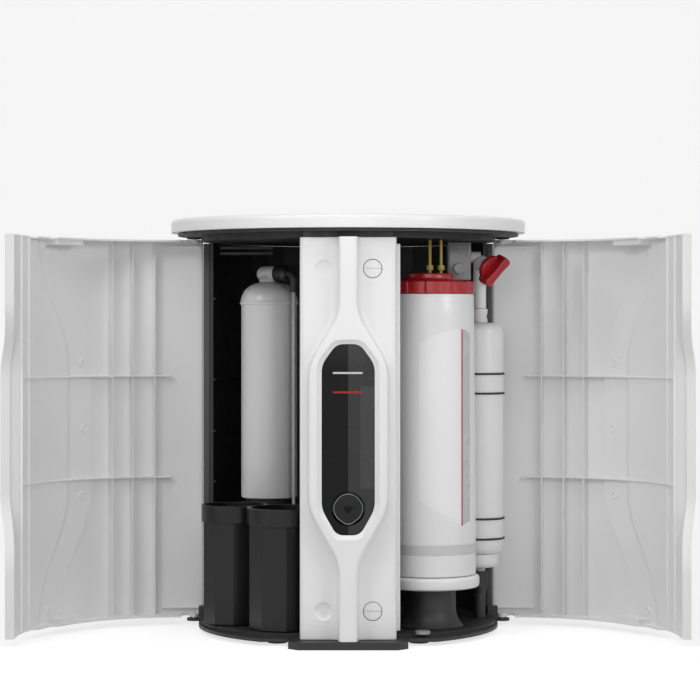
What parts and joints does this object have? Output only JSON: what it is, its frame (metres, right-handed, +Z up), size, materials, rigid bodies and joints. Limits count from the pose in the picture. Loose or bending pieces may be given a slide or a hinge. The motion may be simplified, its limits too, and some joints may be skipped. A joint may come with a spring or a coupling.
{
  "type": "laboratory water purifier",
  "caption": "Bench water purifier: white elliptical cabinet with two curved hinged doors, front display column, treatment packs, bottle and cup holder inside.",
  "frame": {"origin": "on the surface it stands on, under the middle of the cabinet", "axes": "+Z up, the display column faces -Y, +X to the right seen from the front"},
  "size_m": [0.7054, 0.3389, 0.435],
  "materials": {
    "white_plastic": "satin white moulded",
    "door_plastic": "satin white moulded, ribbed inside",
    "black_plastic": "satin black moulded",
    "gloss_black": "polished black",
    "red_plastic": "satin red",
    "grey_plastic": "translucent grey",
    "rubber": "matte black",
    "steel": "turned",
    "tube_yellow": "translucent amber tube",
    "board_green": "coated board"
  },
  "bodies": {
    "cabinet": {"lid": "white_plastic", "top_plate": "black_plastic", "base_tray": "black_plastic", "rubber_foot_front_left": "rubber", "rubber_foot_front_right": "rubber", "rubber_foot_back_left": "rubber", "rubber_foot_back_right": "rubber", "rear_shell": "black_plastic", "front_column": "white_plastic", "display_panel": "gloss_black", "column_screw_upper": "white_plastic", "column_screw_lower": "white_plastic", "control_board": "board_green", "button_switch": "black_plastic", "chassis_post": "black_plastic", "left_hinge_pin_lower": "steel", "left_hinge_pin_upper": "steel", "right_hinge_pin_lower": "steel", "right_hinge_pin_upper": "steel", "cup_holder": "black_plastic", "bottle": "white_plastic", "bottle_stand": "black_plastic", "bottle_spout": "white_plastic", "spout_connector": "black_plastic", "hose_elbow": "black_plastic", "bottle_hose": "grey_plastic", "big_pack": "white_plastic", "pack_foot": "white_plastic", "pack_seat": "black_plastic", "port_tube_1": "tube_yellow", "port_tube_2": "tube_yellow", "manifold": "grey_plastic", "valve_body": "white_plastic", "small_pack": "white_plastic", "small_pack_head": "white_plastic", "small_pack_foot": "white_plastic", "small_pack_seat": "black_plastic", "small_pack_band_1": "black_plastic", "small_pack_band_2": "black_plastic", "small_pack_band_3": "black_plastic", "small_pack_band_4": "black_plastic", "tray_screw": "grey_plastic", "pump": "grey_plastic", "power_inlet": "black_plastic", "water_port_1": "grey_plastic", "water_port_2": "grey_plastic"},
    "left_door": {"left_door": "door_plastic"},
    "right_door": {"right_door": "door_plastic"},
    "dispense_button": {"dispense_button": "gloss_black"},
    "pack_collar": {"pack_collar": "red_plastic"},
    "valve_knob": {"valve_knob": "red_plastic"}
  },
  "joints": [
    {"name": "left_door_hinge", "type": "hinge", "parent": "cabinet", "child": "left_door", "pos_m": [-0.166, 0.032, 0.2], "axis": [0, 0, 1], "range_deg": [-10, 82.5]},
    {"name": "right_door_hinge", "type": "hinge", "parent": "cabinet", "child": "right_door", "pos_m": [0.166, 0.032, 0.2], "axis": [0, 0, -1], "range_deg": [-10, 82.5]},
    {"name": "dispense_press", "type": "slide", "parent": "cabinet", "child": "dispense_button", "axis": [0, 1, 0], "range_m": [0, 0.001], "stiffness_N_per_m": 800},
    {"name": "collar_turn", "type": "hinge", "parent": "cabinet", "child": "pack_collar", "pos_m": [0.0847, -0.062, 0.36], "axis": [0, 0, 1], "range_deg": [0, 30]},
    {"name": "valve_turn", "type": "hinge", "parent": "cabinet", "child": "valve_knob", "pos_m": [0.14952, -0.0163, 0.38326], "axis": [0.5535, -0.7547, -0.3522], "range_deg": [0, 90]}
  ]
}
